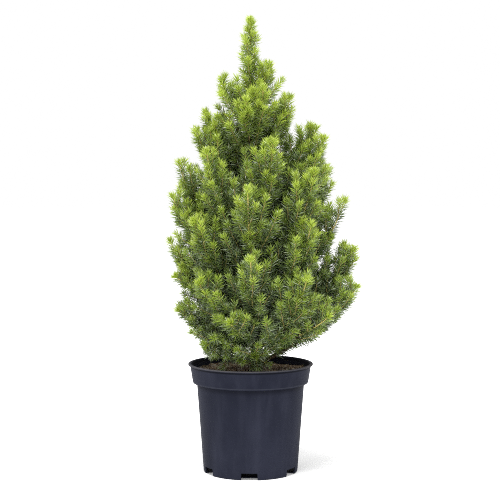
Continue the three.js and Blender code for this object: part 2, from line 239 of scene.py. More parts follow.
# A needle is 4 triangles.
MOST_TRIANGLES = 190000
NEEDLES_A_PIECE = MOST_TRIANGLES // 4

# The tuft at a shoot's tip spreads over "depth". Shoots under "shortest" count as that long for it.
TUFT = {"depth": 6, "shortest": 8}

# Needles of each kind of shoot: the share of it that they start from, how bright its new growth is, how
# many stand on a millimetre, and how many more in the tuft at its tip.
NEEDLING = {
    "leader": {"start": 0, "new": 1.25, "per_mm": 4, "at_tip": 60},
    "stem": {"start": 0, "new": 1.4, "per_mm": 2.3, "at_tip": 44},
    "side": {"start": 0.06, "new": 1, "per_mm": 2.2, "at_tip": 19},
    "sprig": {"start": 0.05, "new": 0.4, "per_mm": 2.2, "at_tip": 7},
}

# Twigs under the needles: the share of the shoot that they start from, points along them, and their radii.
TWIGS = {
    "leading": {"start": 0.05, "points": 14, "foot": 2, "tip": 0.8},
    "side": {"start": 0, "points": 4, "foot": 1, "tip": 0.45},
    "young": {"start": 0, "points": 3, "foot": 0.6, "tip": 0.35},
}
TWIG_END = 0.97

# Limbs: radii of a bough and of a bare stem at the trunk and of both at their end, the swelling where they
# leave the trunk, the share of the plume's axis that they run along, and how knotty and rough they are.
LIMB = {"bough": 3.4, "stem": 1.9, "tip": 1.5, "collar": 1.6, "along": 0.45, "knots": 0.18, "rough": 0.07}

# Bark of the trunk: heights of its ridges and plates, and the share of them that is left at the tip.
BARK = {"ridges": 0.16, "plates": 0.55, "at_tip": 0.35}

# Compost: its lowest point, its gap to the pot's wall, how far its surface lies under the nominal one, its
# grain, and its chips. Its waves are calmed to "calm" within "calm_from" of the trunk, over "calm_over".
COMPOST = {
    "foot": 2.6,
    "gap": 0.8,
    "sunk": 0.6,
    "grain": 0.22,
    "chips": 2600,
    "chip_rise": 0.3,
    "calm": 0.15,
    "calm_from": 8,
    "calm_over": 16,
}


# ---- Materials ----


class Value:
    """One output of a node tree, with arithmetic that adds its Math nodes."""

    def __init__(self, paint, socket):
        self.paint = paint
        self.socket = socket

    def _math(self, operation, *values):
        return self.paint.node("ShaderNodeMath", {"operation": operation}, dict(enumerate(values)))

    def __add__(self, other):
        return self._math("ADD", self, other)

    __radd__ = __add__

    def __mul__(self, other):
        return self._math("MULTIPLY", self, other)

    __rmul__ = __mul__

    def __sub__(self, other):
        return self._math("SUBTRACT", self, other)

    def __rsub__(self, other):
        return self._math("SUBTRACT", other, self)

    def root(self):
        return self._math("SQRT", self)

    def between(self, low, high):
        """0 at low and under, 1 at high and over."""
        settings = {"interpolation_type": "SMOOTHSTEP"}
        sockets = {"Value": self, "From Min": low, "From Max": high}
        return self.paint.node("ShaderNodeMapRange", settings, sockets)

    def past(self, low, high):
        """As between, for a distance in metres and limits in millimetres."""
        return self.between(low * MM, high * MM)


class Paint:
    """A material whose nodes are added one by one."""

    def __init__(self, name, **constants):
        self.material = bpy.data.materials.new(name)
        self.material.use_nodes = True
        self.tree = self.material.node_tree
        self.shader = self.tree.nodes["Principled BSDF"]
        for key, value in constants.items():
            self.shader.inputs[key.replace("_", " ")].default_value = value

    def node(self, kind, settings=None, inputs=None, output=0):
        """A node of any type: its settings first, then the values or links of its sockets."""
        node = self.tree.nodes.new(kind)
        for key, value in (settings or {}).items():
            setattr(node, key, value)
        for key, value in (inputs or {}).items():
            if isinstance(value, Value):
                self.tree.links.new(value.socket, node.inputs[key])
            else:
                node.inputs[key].default_value = value
        return Value(self, node.outputs[output])

    def place(self):
        return self.node("ShaderNodeTexCoord", output="Object")

    def split(self, vector, axis):
        return self.node("ShaderNodeSeparateXYZ", inputs={"Vector": vector}, output=axis)

    def noise(self, scale, detail=3, rough=0.55, at=None):
        sockets = {"Vector": at or self.place(), "Scale": scale, "Detail": detail, "Roughness": rough}
        return self.node("ShaderNodeTexNoise", inputs=sockets)

    def blend(self, share, first, second):
        """From the first colour to the second as share goes from 0 to 1.

        The node's sockets for colours share their names with others, so they go by number: 6, 7 and 2.
        """
        settings = {"data_type": "RGBA"}
        return self.node("ShaderNodeMix", settings, {0: share, 6: first, 7: second}, output=2)

    def relief(self, height, strength, depth):
        sockets = {"Height": height, "Strength": strength, "Distance": depth}
        self.wear(Normal=self.node("ShaderNodeBump", inputs=sockets))

    def wear(self, **links):
        for key, value in links.items():
            self.tree.links.new(value.socket, self.shader.inputs[key.replace("_", " ")])


def rgb(red, green, blue):
    """A colour from its values on a screen, 0 to 255."""
    linear = (((v / 255 + 0.055) / 1.055) ** 2.4 if v > 10 else v / 3294.6 for v in (red, green, blue))
    return (*linear, 1)


def needle_paint(name, colour, shade):
    paint = Paint(name, Roughness=0.3, Specular_IOR_Level=0.7)
    tint = paint.noise(70, detail=2).between(0.3, 0.7)
    paint.wear(Base_Color=paint.blend(tint, shade, colour))
    return paint.material


def bark_paint(name, colour, shade, scale=160):
    paint = Paint(name, Roughness=0.85, Specular_IOR_Level=0.2)
    grain = paint.noise(scale, detail=4, rough=0.65)
    paint.wear(Base_Color=paint.blend(grain.between(0.35, 0.65), shade, colour))
    paint.relief(grain, 0.6, 0.0006)
    return paint.material


def pot_paint():
    """Dark blue-grey plastic: dusty patches, upright bands of painted sheen, painted shade under the collar
    and the lip, and painted highlights on the collar's lower corner and on the lip.
    """
    paint = Paint("pot_plastic", Specular_IOR_Level=0.025)
    dusty = paint.noise(11, detail=5, rough=0.6).between(0.3, 0.7)
    colour = paint.blend(dusty, rgb(29, 31, 42), rgb(40, 42, 54))

    place = paint.place()
    # Faint upright lighter bands: painted sheen, standing in for soft upright highlights.
    upright = paint.node("ShaderNodeMapping", inputs={"Vector": place, "Scale": (1, 1, 0.12)})
    painted_sheen_streaks = paint.noise(55, detail=4, at=upright).between(0.4, 0.75)
    colour = paint.blend(0.3 * painted_sheen_streaks, colour, rgb(54, 56, 68))

    x, y, z = (paint.split(place, axis) for axis in "XYZ")
    radius = (x * x + y * y).root()
    outer_wall = radius.past(POT["base_radius"] - 5, POT["base_radius"] - 0.6)
    colour = paint.blend(outer_wall, rgb(40, 42, 52), colour)

    shoulder = POT["shoulder_height"]
    # A thin lighter line on the collar's lower corner: a painted highlight.
    painted_collar_highlight = z.past(shoulder + 1.6, shoulder + 2.2) - z.past(shoulder + 2.6, shoulder + 3.4)
    on_collar = radius.past(POT["collar_low_radius"] - 0.8, POT["collar_low_radius"] - 0.3)
    colour = paint.blend(painted_collar_highlight * on_collar, colour, rgb(47, 49, 58))
    # A dark band just under the collar: painted shade.
    near_collar = z.past(shoulder - 9, shoulder - 1)
    below_collar = 1 - z.past(shoulder + 0.4, shoulder + 0.8)
    colour = paint.blend(0.6 * near_collar * below_collar, colour, rgb(17, 18, 25))

    lip = POT["height"] - POT["lip_drop"]
    # A dark line just under the lip: a painted shadow.
    near_lip = z.past(lip - 3.2, lip - 1.6)
    below_lip = 1 - z.past(lip - 0.2, lip + 0.2)
    colour = paint.blend(0.8 * near_lip * below_lip, colour, rgb(12, 13, 18))
    # A lighter band on top of the lip, where light falls from above: a painted highlight.
    painted_lip_highlight = z.past(lip, POT["height"]) * radius.past(POT["lip_radius"] - 2.6, POT["lip_radius"] - 1.2)
    colour = paint.blend(painted_lip_highlight, colour, rgb(80, 78, 80))

    paint.wear(Base_Color=colour, Roughness=0.5 + 0.12 * dusty)
    paint.relief(paint.noise(26, detail=2), 0.15, 0.001)
    return paint.material


def compost_paint():
    """Brown compost with pale crumbs, and painted shade deep in the pot, where the recesses show it."""
    paint = Paint("compost_crumbs", Roughness=0.95, Specular_IOR_Level=0.15)
    crumbs = paint.noise(210, detail=5, rough=0.7)
    patches = paint.noise(45, detail=3).between(0.35, 0.65)
    brown = paint.blend(patches, rgb(84, 68, 54), rgb(130, 108, 84))
    top = paint.blend(crumbs.between(0.48, 0.72), brown, rgb(196, 190, 176))
    height = paint.split(paint.place(), "Z")
    # Under 100 to 120 mm the compost turns dark blue-grey: painted shade, seen through the recesses.
    paint.wear(Base_Color=paint.blend(height.past(100, 120), rgb(26, 27, 32), top))
    paint.relief(crumbs, 0.8, 0.0015)
    return paint.material


def floor_paint():
    """A nearly white floor that glows a little, so that it fades into the background."""
    paint = Paint("pale_floor", Roughness=0.9, Specular_IOR_Level=0.1)
    paint.shader.inputs["Emission Color"].default_value = (1, 1, 1, 1)
    paint.shader.inputs["Emission Strength"].default_value = 0.17
    grain = paint.noise(3, detail=2).between(0.2, 0.8)
    paint.wear(Base_Color=paint.blend(grain, (0.93, 0.93, 0.93, 1), (0.96, 0.96, 0.96, 1)))
    return paint.material


# ---- Helpers: numbers and curves ----


def unit(vectors):
    vectors = np.asarray(vectors, float)
    return vectors / np.maximum(np.linalg.norm(vectors, axis=-1, keepdims=True), 1e-9)


def lerp(a, b, share):
    return a + (b - a) * share


def ramp(value, start, end):
    """0 at the start, 1 at the end and straight between. The end may lie under the start."""
    return np.clip((value - start) / (end - start), 0, 1)


def round_angles(count):
    return np.arange(count) * 2 * math.pi / count


def axes_across(directions):
    """Two directions square to each direction and to each other."""
    hint = np.where(np.abs(directions[..., 2:]) > 0.9, (1.0, 0, 0), (0, 0, 1.0))
    across = unit(np.cross(directions, hint))
    return across, np.cross(directions, across)


def outward_from(directions, angle):
    """Directions square to the given ones, turned about them by an angle in radians."""
    across, other = axes_across(directions)
    return across * np.cos(angle)[:, None] + other * np.sin(angle)[:, None]


def curve_points(control, shares):
    """Points of a curve through its start and end, pulled to its middle control point."""
    start, bend, end = (np.asarray(c, float) for c in control)
    t = np.asarray(shares, float)[..., None]
    return (1 - t) ** 2 * start + 2 * (1 - t) * t * bend + t**2 * end


def curve_tangents(control, shares):
    start, bend, end = (np.asarray(c, float) for c in control)
    t = np.asarray(shares, float)[..., None]
    return unit(2 * (1 - t) * (bend - start) + 2 * t * (end - bend))


def curve_length(control):
    points = curve_points(control, np.linspace(0, 1, 201))
    return float(np.linalg.norm(np.diff(points, axis=0), axis=1).sum())


def shoot_paths(controls, shares):
    """Points at the same shares of many curves: (curves, points, 3)."""
    return curve_points([controls[:, i, None] for i in range(3)], shares)


def shoot_lengths(controls):
    steps = np.diff(shoot_paths(controls, np.linspace(0, 1, 5)), axis=1)
    return np.linalg.norm(steps, axis=-1).sum(axis=1)


def distances_to(line, points):
    """How far each point is from a line of straight stretches."""
    points = np.atleast_2d(points)
    starts = line[:-1]
    span = line[1:] - starts
    share = ((points[:, None] - starts) * span).sum(-1) / (span**2).sum(-1)
    nearest = starts + np.clip(share, 0, 1)[..., None] * span
    return np.linalg.norm(points[:, None] - nearest, axis=-1).min(axis=1)


# ---- Helpers: meshes ----


def ring_quads(rings, sides):
    """The faces between rings of points that follow one another."""
    here = np.arange(rings - 1)[:, None] * sides + np.arange(sides)
    beside = np.arange(rings - 1)[:, None] * sides + (np.arange(sides) + 1) % sides
    return np.stack([here, beside, beside + sides, here + sides], axis=-1).reshape(-1, 4)


def copies(faces, count, points):
    """The faces of many shapes that each have the same faces and number of points."""
    return (faces[None] + (np.arange(count) * points)[:, None, None]).reshape(-1, faces.shape[1])


def tubes(paths, radii, sides):
    """Tubes with pointed tips along paths of shape (count, points, 3), radii of shape (count, points)."""
    paths = np.asarray(paths, float)
    radii = np.asarray(radii, float)
    count, points, _ = paths.shape
    across, other = axes_across(unit(np.gradient(paths, axis=1)))
    angle = round_angles(sides)[:, None]
    ring = across[:, :, None] * np.cos(angle) + other[:, :, None] * np.sin(angle)
    vertices = paths[:, :, None] + ring * radii[:, :, None, None]
    tip = points * sides
    vertices = np.concatenate([vertices.reshape(count, tip, 3), paths[:, -1:]], axis=1)
    walls = ring_quads(points, sides)[:, [0, 1, 2, 0, 2, 3]].reshape(-1, 3)
    last = np.arange(tip - sides, tip)
    point = np.stack([last, np.roll(last, -1), np.full(sides, tip)], axis=1)
    return vertices.reshape(-1, 3), copies(np.concatenate([walls, point]), count, tip + 1)


def add_piece(name, vertices, faces, material, slot, smooth=False):
    """A mesh piece of the plant from arrays in millimetres, riding on the plant's one body."""
    mesh = bpy.data.meshes.new(name)
    vertices = np.asarray(vertices, np.float32).reshape(-1, 3) * MM
    faces = np.asarray(faces, np.int32)
    corners = faces.shape[1]
    mesh.vertices.add(len(vertices))
    mesh.vertices.foreach_set("co", vertices.ravel())
    mesh.loops.add(faces.size)
    mesh.loops.foreach_set("vertex_index", faces.ravel())
    mesh.polygons.add(len(faces))
    mesh.polygons.foreach_set("loop_start", np.arange(0, faces.size, corners, dtype=np.int32))
    mesh.update(calc_edges=True)
    mesh.polygons.foreach_set("use_smooth", np.full(len(faces), smooth))
    return add_object(name, mesh, material)


def add_object(name, mesh, material):
    mesh.materials.append(material)
    piece = bpy.data.objects.new(name, mesh)
    bpy.context.collection.objects.link(piece)
    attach(piece, "root")
    return piece


# ---- The plant's rule: trunk, plume axes and the crown's outline ----

TRUNK_CURVE = (TRUNK["foot"], TRUNK["bend"], TRUNK["tip"])


def trunk_at(height):
    share = (height - TRUNK["foot"][2]) / TRUNK_HEIGHT
    return curve_points(TRUNK_CURVE, min(max(share, 0), 1))


def trunk_radius(share, angle):
    height = share * TRUNK_HEIGHT
    lobes = 0.6 + 0.4 * np.cos(TRUNK["flare_lobes"] * angle)
    flare = TRUNK["flare"] * lobes * np.exp(-height / TRUNK["flare_height"])
    return lerp(TRUNK["foot_radius"], TRUNK["tip_radius"], share**0.8) + flare


def reach_at(azimuth, height):
    """How far the crown reaches from the middle, towards an azimuth in radians, at a height."""
    right = (1 + np.cos(azimuth)) / 2
    left_reach = np.interp(height, OUTLINE[:, 0], OUTLINE[:, 1])
    right_reach = np.interp(height, OUTLINE[:, 0], OUTLINE[:, 2])
    return lerp(left_reach, right_reach, right)


def radius_and_reach(points):
    """How far points are from the crown's middle, and how far the crown reaches on their side."""
    azimuth = np.arctan2(points[..., 1], points[..., 0])
    radius = np.hypot(points[..., 0], points[..., 1])
    level = np.clip(points[..., 2], OUTLINE[0, 0], TOP)
    return radius, reach_at(azimuth, level)


def plume_axis(azimuth, height, shift):
    """A plume's middle line: out from the trunk, then turning up to its tip."""
    steepness = (height - SLOPE["low_height"]) / (SLOPE["high_height"] - SLOPE["low_height"])
    slope = lerp(SLOPE["low"], SLOPE["high"], min(max(steepness, 0), 1))
    angle = math.radians(azimuth)
    reach = reach_at(angle, height)
    tip = np.array([math.cos(angle) * reach, math.sin(angle) * reach, height])
    root_height = max(LOWEST_ROOT, height - slope * reach) + shift
    root = trunk_at(min(max(root_height, LOWEST_ROOT - 8), HIGHEST_ROOT))
    bend = root + BEND["out"] * (tip - root)
    lowness = (BEND["high_height"] - height) / (BEND["high_height"] - BEND["low_height"])
    bend[2] = lerp(root[2], height, lerp(BEND["up"], BEND["low_up"], min(max(lowness, 0), 1)))
    return root, bend, tip


def settled_plumes():
    """Each axis leaves the trunk at the first height that keeps it clear of its neighbours."""
    settled = []
    for azimuth, height in PLUMES:
        options = []
        for shift in ROOT_SHIFTS:
            curve = plume_axis(azimuth, height, shift)
            line = curve_points(curve, np.linspace(0, 1, AXIS_POINTS + 1))
            room = min((distances_to(other["line"], line).min() for other in settled), default=math.inf)
            options.append({"curve": curve, "line": line, "room": room})
        clear = [option for option in options if option["room"] > AXIS_ROOM]
        best = clear[0] if clear else max(options, key=lambda option: option["room"])
        settled.append({"index": len(settled) + 1, "bare": BARE_SHARE, **best})
    return settled


def crown_leader():
    """The plume on the trunk's tip, needled from its foot."""
    foot = np.array(TRUNK["tip"], float)
    tip = np.array(LEADER_TIP, float)
    return {"index": 0, "bare": 0, "curve": (foot, (foot + tip) / 2, tip)}


# ---- Growth: shoots, each a curve of three control points ----


def in_crown(points, slack):
    """Which points lie inside the crown's outline and clear of the compost."""
    radius, reach = radius_and_reach(points)
    aside = np.hypot(points[..., 0] - UNDERSIDE["centre"], UNDERSIDE["squash"] * points[..., 1])
    rise = UNDERSIDE["rise"] * ramp(aside, UNDERSIDE["inner"], UNDERSIDE["outer"])
    above = points[..., 2] > SOIL_TOP + UNDERSIDE["clear"] + rise
    return (radius <= reach + slack) & above & (points[..., 2] < HIGHEST_TIP)


def turned_up(roots, along, lengths, upturn):
    """Shoots from their roots along directions, with tips that turn up to the light."""
    middle = roots + along * lengths[:, None] * 0.5
    ends = roots + along * lengths[:, None]
    ends[:, 2] += upturn * lengths
    return np.stack([roots, middle, ends], axis=1)


def grow_side(rng, roots, tangents, lengths, kind, turn):
    """Side shoots from points on a stem, set round it by the golden angle."""
    count = len(roots)
    angle = turn + np.arange(count) * GOLDEN + rng.uniform(-0.4, 0.4, count)
    open_angle = np.radians(kind["spread"] * rng.uniform(0.8, 1.2, count))[:, None]
    along = tangents * np.cos(open_angle) + outward_from(tangents, angle) * np.sin(open_angle)
    along[:, 2] += kind["lift"]
    return turned_up(roots, unit(along), lengths, kind["upturn"])


def shorten_to_crown(rng, controls, shortest, kind):
    """Shoots cut back until their tips lie in the crown. Those that get too short are dropped."""
    roots = controls[:, :1]
    is_candle = rng.uniform(size=len(controls)) < kind["candles"]
    slack = np.where(is_candle, kind["candle_slack"], kind["body_slack"])
    kept = np.zeros(len(controls))
    for share in CUT_BACK:
        tips = roots[:, 0] + (controls[:, 2] - roots[:, 0]) * share
        kept = np.where((kept == 0) & in_crown(tips, slack), share, kept)
    lengths = np.linalg.norm(controls[:, 2] - controls[:, 0], axis=1) * kept
    controls = roots + (controls - roots) * kept[:, None, None]
    return controls[lengths > shortest]


def shoot_kind(plume):
    if plume["index"] == 0:
        return LEADER_SHOOTS
    if plume["index"] > SKIRT_AFTER:
        return SKIRT_SHOOTS
    return LOW_SHOOTS if plume["curve"][2][2] < LOW_UNDER else SHOOTS


def side_shoots(rng, plume, length, kind):
    """Side shoots along a plume's stem of a given length."""
    count = max(FEWEST_SHOOTS, round(length / kind["spacing"]))
    shares = (np.arange(count) + rng.uniform(0.1, 0.9, count)) / count * kind["last"]
    along = lerp(plume["bare"], 1, shares)
    roots = curve_points(plume["curve"], along)
    tangents = curve_tangents(plume["curve"], along)
    full = min(max(kind["share"] * length, LEAST_FULL_LENGTH), kind["longest"])
    lengths = np.minimum(full, kind["at_tip"] + kind["taper"] * length * (1 - shares))
    lengths *= rng.uniform(0.7, 1.15, count)
    side = grow_side(rng, roots, tangents, lengths, kind, plume["index"] * PLUME_TURN)
    return shorten_to_crown(rng, side, kind["shortest"], kind)


def sprigs_on(rng, side, kind):
    """Sprigs along those side shoots that are long enough to bear a few."""
    sprigs = [side[:0]]
    for shoot, length in zip(side, shoot_lengths(side)):
        number = int(length / kind["sprigs"])
        if number < FEWEST_SPRIGS:
            continue
        shares = (np.arange(number) + rng.uniform(0.2, 0.8, number)) / number
        spots = SPRIGS["first"] + SPRIGS["stretch"] * shares
        full = SPRIGS["share"] * length
        sizes = np.minimum(full, SPRIGS["at_tip"] + SPRIGS["taper"] * length * (1 - spots))
        sizes *= rng.uniform(0.75, 1.2, number)
        roots = curve_points(shoot, spots)
        tangents = curve_tangents(shoot, spots)
        sprigs.append(grow_side(rng, roots, tangents, sizes, SPRIGS, rng.uniform(0, 6)))
    return shorten_to_crown(rng, np.concatenate(sprigs), SPRIGS["shortest"], kind)


def needled_stem(plume, length):
    """The stretch of a plume's axis that bears needles. It ends short of the tip, which they reach."""
    end = 1 if plume["index"] == 0 else 1 - NEEDLES_PAST_TIP / length
    stem = curve_points(plume["curve"], lerp(plume["bare"], end, np.array([0, 0.5, 1])))
    stem[1] = 2 * stem[1] - (stem[0] + stem[2]) / 2
    return stem[None]


def plume_growth(plume):
    """The shoots of one plume: its needled stem, its side shoots and their sprigs."""
    rng = np.random.default_rng(SEEDS["plumes"] + plume["index"])
    kind = shoot_kind(plume)
    length = curve_length(plume["curve"]) * (1 - plume["bare"])
    side = side_shoots(rng, plume, length, kind)
    return needled_stem(plume, length), side, sprigs_on(rng, side, kind)


def trunk_growth(rng):
    """Short dull shoots all along the trunk, which close the middle of the crown."""
    share = np.linspace(INNER["first"], INNER["last"], INNER["count"])
    angle = np.arange(INNER["count"]) * GOLDEN
    lengths = rng.uniform(INNER["shortest"], INNER["longest"], INNER["count"])
    lengths *= lerp(INNER["low"], INNER["high"], share)
    out = np.stack([np.cos(angle), np.sin(angle), np.full_like(angle, INNER["lift"])], axis=1)
    shoots = turned_up(curve_points(TRUNK_CURVE, share), unit(out), lengths, INNER["upturn"])
    return shorten_to_crown(rng, shoots, INNER["shortest"] / 2, SHOOTS)


# ---- Growth: needles ----


def needles_on(rng, controls, kind):
    """Needles round shoots: which shoot, root, direction, length, and how far from the shoot's tip."""
    lengths = shoot_lengths(controls)
    start = kind["start"]
    along_shoot = (lengths * (1 - start) * kind["per_mm"]).astype(int) + FEWEST_NEEDLES
    counts = along_shoot + kind["at_tip"]
    owner = np.repeat(np.arange(len(controls)), counts)
    order = np.arange(len(owner)) - np.repeat(np.cumsum(counts) - counts, counts)
    steps = np.minimum((order + rng.uniform(0, 0.6, len(owner))) / along_shoot[owner], 1)
    back = rng.uniform(0, TUFT["depth"], len(owner)) / np.maximum(lengths[owner], TUFT["shortest"])
    in_tuft = order >= along_shoot[owner]
    share = start + (1 - start) * steps - np.where(in_tuft, back, 0)

    control = np.moveaxis(controls[owner], 1, 0)
    roots = curve_points(control, share)
    along = curve_tangents(control, share)
    outward = outward_from(along, order * GOLDEN + rng.uniform(-0.15, 0.15, len(owner)))

    to_tip = (1 - share) * lengths[owner]
    lean = lerp(NEEDLE["lean"], NEEDLE["tip_lean"], np.exp(-to_tip / NEEDLE["lean_fade"]))
    lean = np.radians(lean * rng.uniform(0.7, 1.2, len(owner)))[:, None]
    direction = along * np.cos(lean) + outward * np.sin(lean)
    direction[:, 2] += NEEDLE["lift"]
    size = NEEDLE["length"] * lerp(1, NEEDLE["tip_size"], np.exp(-to_tip / NEEDLE["size_fade"]))
    size *= rng.uniform(0.75, 1.1, len(owner))
    return owner, roots, unit(direction), size, to_tip


def needle_mesh(rng, roots, directions, sizes):
    """Slim keeled needles, widest under the middle: 4 vertices and 4 faces each."""
    count = len(roots)
    across = unit(np.cross(directions, rng.normal(size=(count, 3))))
    keel = np.cross(directions, across) * NEEDLE["depth"]
    middle = roots + directions * (sizes * NEEDLE["widest"])[:, None] + keel
    tips = roots + directions * sizes[:, None]
    half = across * (sizes * NEEDLE["width"] / NEEDLE["length"] / 2)[:, None]
    vertices = np.stack([roots, middle + half, middle - half, tips], axis=1)
    faces = np.array([[0, 2, 1], [3, 1, 2], [0, 1, 3], [0, 3, 2]])
    return vertices.reshape(-1, 3), copies(faces, count, 4)


# ---- Pieces: wood ----


def trunk_mesh():
    """The trunk with its root flare and plated bark."""
    rings = 260
    sides = 44
    share = np.linspace(0, 1, rings)[:, None]
    angle = round_angles(sides)[None]
    height = share * TRUNK_HEIGHT
    rng = np.random.default_rng(SEEDS["trunk"])
    ridges = sum(
        rng.uniform(0.4, 1) * np.sin(lobes * angle + twist * height * 0.06 + rng.uniform(0, 6))
        for lobes, twist in ((3, 1), (5, -1.6), (8, 2.3), (11, -3.1), (7, 5))
    )
    cracks = height * 0.35 + 2.2 * np.sin(2 * angle) + 1.3 * np.sin(5 * angle + height * 0.05)
    plates = np.abs(np.sin(cracks)) - 0.5
    relief = (BARK["ridges"] * ridges + BARK["plates"] * plates) * lerp(1, BARK["at_tip"], share)
    radius = trunk_radius(share, angle) + relief
    ring = np.stack([radius * np.cos(angle), radius * np.sin(angle), np.zeros_like(radius)], axis=-1)
    vertices = curve_points(TRUNK_CURVE, share[:, 0])[:, None] + ring
    return vertices.reshape(-1, 3), ring_quads(rings, sides)


def limb_mesh(plumes):
    """Boughs and bare stems from the trunk to the needled growth, with rough bark."""
    rng = np.random.default_rng(SEEDS["limbs"])
    points = 40
    share = np.linspace(0, 1, points)
    paths = []
    radii = []
    for plume in plumes:
        has_bough = f"bough_{plume['index']:02d}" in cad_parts
        foot = LIMB["bough"] if has_bough else LIMB["stem"]
        radius = lerp(foot, LIMB["tip"], share**0.8) + LIMB["collar"] * np.exp(-share * 20) * (foot / 3)
        path = curve_points(plume["curve"], LIMB["along"] * share)
        path[1:-1] += rng.normal(0, LIMB["knots"], (points - 2, 3))
        paths.append(path)
        radii.append(radius * (1 + LIMB["rough"] * rng.normal(size=points)))
    return tubes(paths, radii, 12)


def build_wood(plumes):
    bark = bark_paint("trunk_bark", rgb(112, 88, 66), rgb(58, 42, 31))
    trunk = add_piece("trunk_bark", *trunk_mesh(), bark, "bark", smooth=True)
    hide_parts("trunk")
    bark = bark_paint("bough_bark", rgb(92, 78, 56), rgb(58, 48, 36), scale=260)
    boughs = add_piece("bough_bark", *limb_mesh(plumes), bark, "bark", smooth=True)
    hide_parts(*[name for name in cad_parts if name.startswith("bough_")])


# ---- Pieces: pot ----


def pot_profile():
    """The pot's section from the middle of its underside, out, up, over the lip and back down inside."""
    wall = POT["wall"]
    base = POT["base_radius"]
    shoulder = POT["shoulder_radius"]
    shoulder_z = POT["shoulder_height"]
    low = POT["collar_low_radius"]
    top = POT["collar_top_radius"]
    lip = POT["lip_radius"]
    height = POT["height"]
    lip_z = height - POT["lip_drop"]
    return [
        (0, 0),
        (base - 1.6, 0),
        (base - 0.5, 0.4),
        (base, 1.6),
        (base + 0.05, 2.4),
        (shoulder - 0.05, shoulder_z - 1.2),
        (shoulder + 0.1, shoulder_z - 0.2),
        (shoulder + 0.6, shoulder_z + 0.3),
        (low - 1.5, shoulder_z + 0.7),
        (low - 0.6, shoulder_z + 1.1),
        (low - 0.1, shoulder_z + 2),
        (low, shoulder_z + 3),
        (top - 0.1, lip_z - 1),
        (top + 0.2, lip_z - 0.2),
        (lip - 0.7, lip_z),
        (lip - 0.1, lip_z + 0.5),
        (lip, lip_z + 1.2),
        (lip - 0.25, height - 0.5),
        (lip - 0.9, height),
        (top - wall + 0.5, height),
        (top - wall, height - 0.5),
        (low - wall, shoulder_z + 3.2 + wall),
        (shoulder - wall, shoulder_z + wall),
        (base - wall, 1.6 + wall),
        (base - wall - 1.2, wall),
        (0, wall),
    ]


def turned_mesh(name, profile, sides):
    """A closed solid of revolution about +Z."""
    made = bmesh.new()
    angles = [2 * math.pi * k / sides for k in range(sides)]
    rings = []
    for radius, height in profile:
        spots = [(radius * math.cos(a), radius * math.sin(a), height) for a in angles]
        if radius == 0:
            spots = spots[:1]
        rings.append([made.verts.new([value * MM for value in spot]) for spot in spots])
    for lower, upper in zip(rings, rings[1:]):
        for k in range(sides):
            n = (k + 1) % sides
            if len(lower) == 1:
                made.faces.new([lower[0], upper[n], upper[k]])
            elif len(upper) == 1:
                made.faces.new([lower[k], lower[n], upper[0]])
            else:
                made.faces.new([lower[k], lower[n], upper[n], upper[k]])
    bmesh.ops.recalc_face_normals(made, faces=made.faces)
    mesh = bpy.data.meshes.new(name)
    made.to_mesh(mesh)
    made.free()
    return mesh


def drain_cutter():
    """The recesses round the pot's foot as one mesh, which reaches past its wall and underside."""
    made = bmesh.new()
    outside = POT["base_radius"] + 6
    inside = POT["base_radius"] - DRAIN["depth"]
    for i in range(DRAIN["count"]):
        turn = math.radians(DRAIN["turn"] + i * 360 / DRAIN["count"])
        for corner in bmesh.ops.create_cube(made, size=1)["verts"]:
            at_top = corner.co.z > 0
            x = (outside + inside) / 2 + corner.co.x * (outside - inside)
            y = corner.co.y * DRAIN["width"] * (DRAIN["top_share"] if at_top else 1)
            z = DRAIN["height"] if at_top else -2
            corner.co = (
                (x * math.cos(turn) - y * math.sin(turn)) * MM,
                (x * math.sin(turn) + y * math.cos(turn)) * MM,
                z * MM,
            )
    mesh = bpy.data.meshes.new("drain_cutter")
    made.to_mesh(mesh)
    made.free()
    cutter = bpy.data.objects.new("drain_cutter", mesh)
    bpy.context.collection.objects.link(cutter)
    return cutter


def build_pot():
    pot = add_object("pot_shell", turned_mesh("pot_shell", pot_profile(), 180), pot_paint())
    cutter = drain_cutter()
    cut = pot.modifiers.new("drains", "BOOLEAN")
    cut.object = cutter
    cut.solver = "EXACT"
    bpy.context.view_layer.update()
    shaped = bpy.data.meshes.new_from_object(pot.evaluated_get(bpy.context.evaluated_depsgraph_get()))
    pot.modifiers.clear()
    pot.data = shaped
    bpy.data.objects.remove(cutter)
    shaped.polygons.foreach_set("use_smooth", np.ones(len(shaped.polygons), bool))
    shaped.set_sharp_from_angle(angle=math.radians(32))
    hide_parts("pot")


# ---- Pieces: compost ----


def pot_inside(height):
    """How far the compost reaches towards the pot's wall at a height, clear of the recesses."""
    foot = POT["base_radius"] - POT["wall"]
    edges = [
        (0, foot - DRAIN["depth"]),
        (DRAIN["height"] + 2, foot - DRAIN["depth"]),
        (DRAIN["height"] + 4, foot),
        (POT["shoulder_height"], POT["shoulder_radius"] - POT["wall"]),
        (POT["shoulder_height"] + 5, POT["collar_low_radius"] - POT["wall"]),
        (POT["height"], POT["collar_top_radius"] - POT["wall"]),
    ]
    heights, radii = zip(*edges)
    return np.interp(height, heights, radii) - COMPOST["gap"]


def compost_waves(rng):
    """Waves of the compost's surface: height, how they run along X and Y, and where they start."""
    sizes = [(0.8, 0.06)] * 3 + [(0.35, 0.2)] * 4 + [(0.18, 0.6)] * 6
    return [(tall, *rng.normal(0, speed, 2), rng.uniform(0, 6)) for tall, speed in sizes]


def compost_surface(x, y, waves):
    """The height of the compost's surface, calmer where the trunk stands in it."""
    height = sum(tall * np.sin(x * run_x + y * run_y + start) for tall, run_x, run_y, start in waves)
    from_trunk = np.hypot(x - TRUNK["foot"][0], y - TRUNK["foot"][1])
    calmed = np.clip((from_trunk - COMPOST["calm_from"]) / COMPOST["calm_over"], COMPOST["calm"], 1)
    return SOIL_TOP - COMPOST["sunk"] + height * calmed


